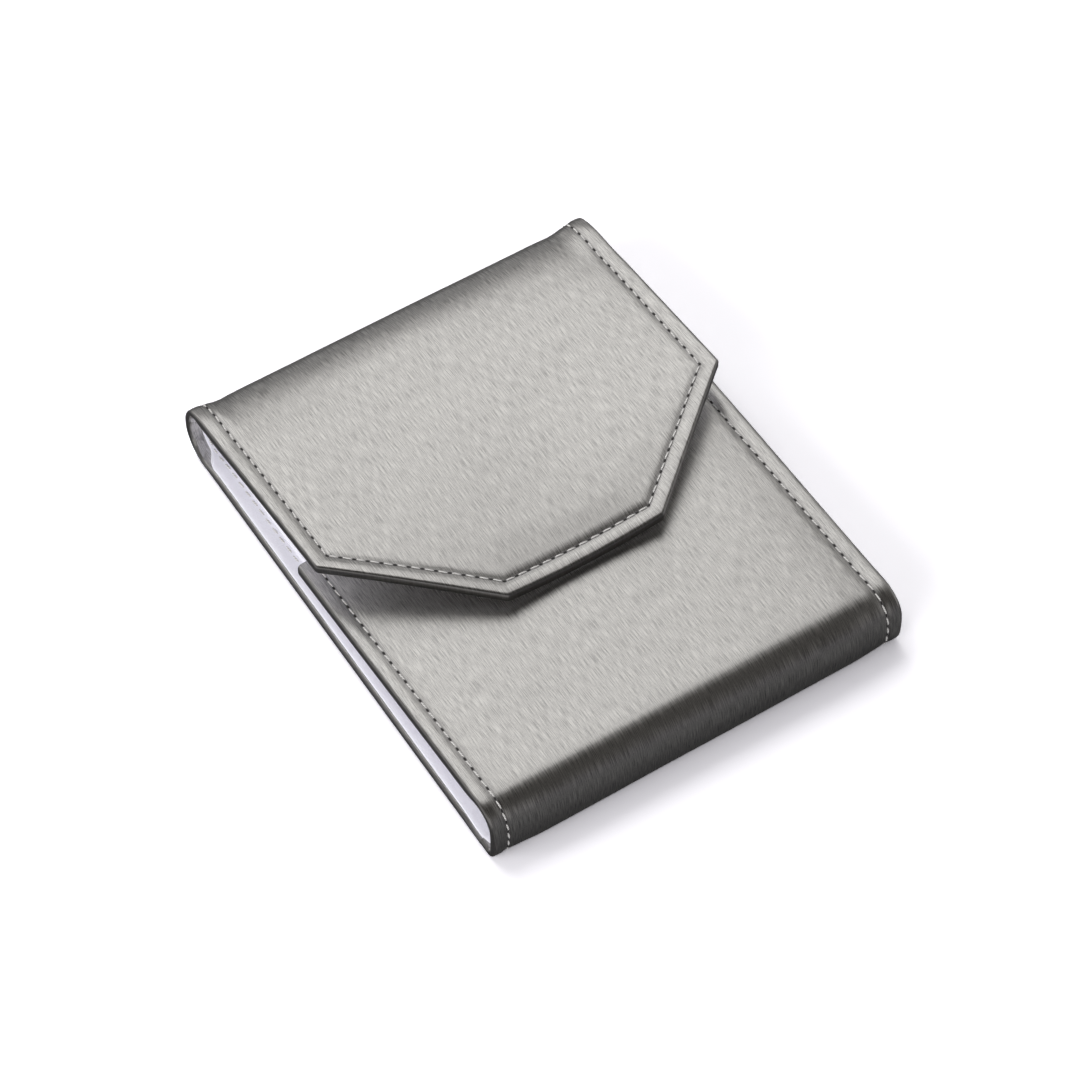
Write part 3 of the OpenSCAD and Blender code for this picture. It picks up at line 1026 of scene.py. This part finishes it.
def addFloor():
    bm = bmesh.new()
    bmesh.ops.create_grid(bm, x_segments=1, y_segments=1, size=6.0)
    obj = newPiece("floor", bm)
    material, tree, shader = newMaterial("floorPaper")
    path = addNode(tree, "ShaderNodeLightPath")
    dim = tuple(c * studio["floorInReflections"] for c in studio["floorColour"])
    colour = mixColour(tree, path.outputs["Is Glossy Ray"], studio["floorColour"], dim)
    # the paper stays white far out, where the lamps no longer reach
    place = addNode(tree, "ShaderNodeTexCoord").outputs["Object"]
    away = addNode(tree, "ShaderNodeVectorMath", links={0: place}, operation="LENGTH").outputs["Value"]
    seen = mixColour(tree, mapRange(tree, away, 0.25, 2.2), studio["floorSeen"], studio["floorFar"])
    colour = mixColour(tree, path.outputs["Is Camera Ray"], colour, seen)
    tree.links.new(colour, shader.inputs["Base Color"])
    shader.inputs["Roughness"].default_value = 0.9
    shader.inputs["Specular IOR Level"].default_value = 0.0
    obj.data.materials.append(material)


def addArea(name, direction, distance, width, height, energy, colour=(1, 1, 1)):
    data = bpy.data.lights.new(name, "AREA")
    data.shape = "RECTANGLE"
    data.size, data.size_y = width, height
    data.energy = energy
    data.color = colour
    obj = bpy.data.objects.new(name, data)
    bpy.context.scene.collection.objects.link(obj)
    away = Vector(direction).normalized()
    obj.location = away * distance
    obj.rotation_mode = "QUATERNION"
    obj.rotation_quaternion = away.to_track_quat("Z", "Y")
    return obj


addFloor()
addArea("keyLight", studio["keyDirection"], studio["keyDistance"], *studio["keySize"], studio["keyEnergy"])
haloAt = studio["keyDistance"] + 0.05
addArea(
    "haloLight", studio["keyDirection"], haloAt, *studio["haloSize"], studio["haloEnergy"], studio["haloTint"]
)
# these two only light the paper and the cloth, as the leatherette mirrors the key light
shadowLight = addArea(
    "shadowLight",
    studio["shadowDirection"],
    studio["shadowDistance"],
    *studio["shadowSize"],
    studio["shadowEnergy"],
)
sideLight = addArea(
    "sideLight",
    studio["sideDirection"],
    studio["sideDistance"],
    *studio["sideSize"],
    studio["sideEnergy"],
    studio["sideTint"],
)
shadowLight.visible_glossy = sideLight.visible_glossy = False


def addWorld():
    world = bpy.data.worlds.new("studioAir")
    bpy.context.scene.world = world
    world.use_nodes = True
    tree = world.node_tree
    background = tree.nodes["Background"]
    place = addNode(tree, "ShaderNodeTexCoord").outputs["Generated"]
    parts = addNode(tree, "ShaderNodeSeparateXYZ", links={"Vector": place})
    low = mapRange(tree, parts.outputs["Z"], 0.5, 0.0)
    toBack = mapRange(tree, parts.outputs["Y"], -0.45, 0.5)
    horizon = mixColour(tree, toBack, studio["lowAir"], studio["backAir"])
    mirrored = mixColour(tree, low, studio["darkAir"], horizon)
    # bright screens stand to the left and right, below the height of the key light
    sideways = addMath(tree, "ABSOLUTE", addMath(tree, "SUBTRACT", parts.outputs["X"], 0.31))
    screen = mapRange(tree, sideways, 0.2, 0.5)
    screen = addMath(tree, "MULTIPLY", screen, mapRange(tree, parts.outputs["Z"], 0.75, 0.4))
    mirrored = mixColour(tree, screen, mirrored, studio["sideAir"])
    open3 = tuple(studio["openAir"] * channel for channel in studio["openTint"])
    path = addNode(tree, "ShaderNodeLightPath")
    lit = mixColour(tree, path.outputs["Is Glossy Ray"], open3, mirrored)
    paper = (studio["paperWhite"],) * 3
    tree.links.new(mixColour(tree, path.outputs["Is Camera Ray"], lit, paper), background.inputs["Color"])


addWorld()
print("studio lit")

# the camera looks down on the case from the front left
cameraShape = {
    "azimuth": -32.93,
    "elevation": 54.95,
    "roll": 0.3,
    "target": (0.84, -0.74, 0.0),
    "distance": 981.7,
    "lens": 128.2,
}


def addCamera():
    data = bpy.data.cameras.new("studioCamera")
    data.sensor_width = 36.0
    data.lens = cameraShape["lens"]
    data.clip_start, data.clip_end = 0.01, 50.0
    obj = bpy.data.objects.new("studioCamera", data)
    bpy.context.scene.collection.objects.link(obj)
    azimuth, elevation = math.radians(cameraShape["azimuth"]), math.radians(cameraShape["elevation"])
    level = math.cos(elevation)
    backward = Vector((math.sin(azimuth) * level, -math.cos(azimuth) * level, math.sin(elevation)))
    right = Vector((math.cos(azimuth), math.sin(azimuth), 0.0))
    up = backward.cross(right)
    basis = Matrix((right, up, backward)).transposed()
    turn = Matrix.Rotation(math.radians(cameraShape["roll"]), 3, "Z")
    obj.matrix_world = Matrix.Translation(
        Vector(cameraShape["target"]) * mm + backward * cameraShape["distance"] * mm
    ) @ (basis @ turn).to_4x4()
    bpy.context.scene.camera = obj


addCamera()
bpy.context.scene.view_settings.view_transform = "Standard"
print("scene ready")
